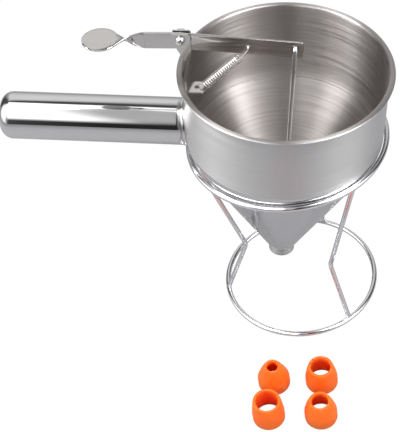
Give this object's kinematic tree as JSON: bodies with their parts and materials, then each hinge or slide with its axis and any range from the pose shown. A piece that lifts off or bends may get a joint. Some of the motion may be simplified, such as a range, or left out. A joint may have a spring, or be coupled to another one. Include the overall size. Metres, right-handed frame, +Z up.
{
  "type": "pancake batter dispenser",
  "caption": "Hand-held steel batter funnel in a wire stand, with a thumb lever that lifts a spring-shut plug, and push-on silicone nozzles.",
  "frame": {"origin": "on the floor, in the middle of the stand's base ring", "axes": "+Z up; the handle points along -X; the lever, the handle and the bowl's axis lie in the plane y = 0; the four nozzles stand on the -Y side"},
  "size_m": [0.2861, 0.2238, 0.2674],
  "materials": {
    "brushed_sheet": "brushed round the axis inside, satin outside",
    "polished_tube": "mirror polished stainless steel",
    "bright_wire": "bright drawn wire",
    "satin_steel": "satin",
    "spring_steel": "bright drawn spring wire",
    "orange_silicone": "smooth satin silicone"
  },
  "bodies": {
    "stand": {"stand_top_ring": "bright_wire", "stand_base_ring": "bright_wire", "stand_leg_left": "bright_wire", "stand_leg_front": "bright_wire", "stand_leg_back": "bright_wire"},
    "funnel": {"bowl": "brushed_sheet", "cone": "brushed_sheet", "spout_tube": "brushed_sheet", "handle_tube": "polished_tube", "handle_collar": "polished_tube", "handle_end_cap": "polished_tube", "lever_bracket": "satin_steel", "pivot_screw": "bright_wire", "pivot_washer": "satin_steel", "pivot_spacers": "satin_steel", "pivot_nut": "satin_steel", "return_spring": "spring_steel"},
    "lever": {"thumb_lever": "satin_steel"},
    "rod": {"plunger_rod": "bright_wire", "valve_plug": "bright_wire"},
    "narrow_nozzle": {"nozzle_narrow": "orange_silicone"},
    "middle_nozzle": {"nozzle_middle": "orange_silicone"},
    "wide_nozzle": {"nozzle_wide": "orange_silicone"},
    "open_nozzle": {"nozzle_open": "orange_silicone"}
  },
  "joints": [
    {"name": "funnel_lift", "type": "slide", "parent": "stand", "child": "funnel", "axis": [0, 0, 1], "range_m": [0, 0.2]},
    {"name": "lever_press", "type": "hinge", "parent": "funnel", "child": "lever", "pos_m": [-0.06406, 0, 0.26024], "axis": [0, -1, 0], "range_deg": [0, 15], "stiffness_Nm_per_rad": 0.4, "springref_deg": -20.05, "deforming": ["return_spring"]},
    {"name": "rod_hang", "type": "hinge", "parent": "lever", "child": "rod", "pos_m": [0.01211, 0, 0.24561], "axis": [0, -1, 0], "range_deg": [-15, 0]},
    {"name": "narrow_nozzle_lift", "type": "slide", "parent": "stand", "child": "narrow_nozzle", "axis": [0, 0, 1], "range_m": [0, 0.1]},
    {"name": "middle_nozzle_lift", "type": "slide", "parent": "stand", "child": "middle_nozzle", "axis": [0, 0, 1], "range_m": [0, 0.1]},
    {"name": "wide_nozzle_lift", "type": "slide", "parent": "stand", "child": "wide_nozzle", "axis": [0, 0, 1], "range_m": [0, 0.1]},
    {"name": "open_nozzle_lift", "type": "slide", "parent": "stand", "child": "open_nozzle", "axis": [0, 0, 1], "range_m": [0, 0.1]}
  ],
  "couplings": [
    {"joint": "rod_hang", "follows": "lever_press", "ratio": -1}
  ]
}
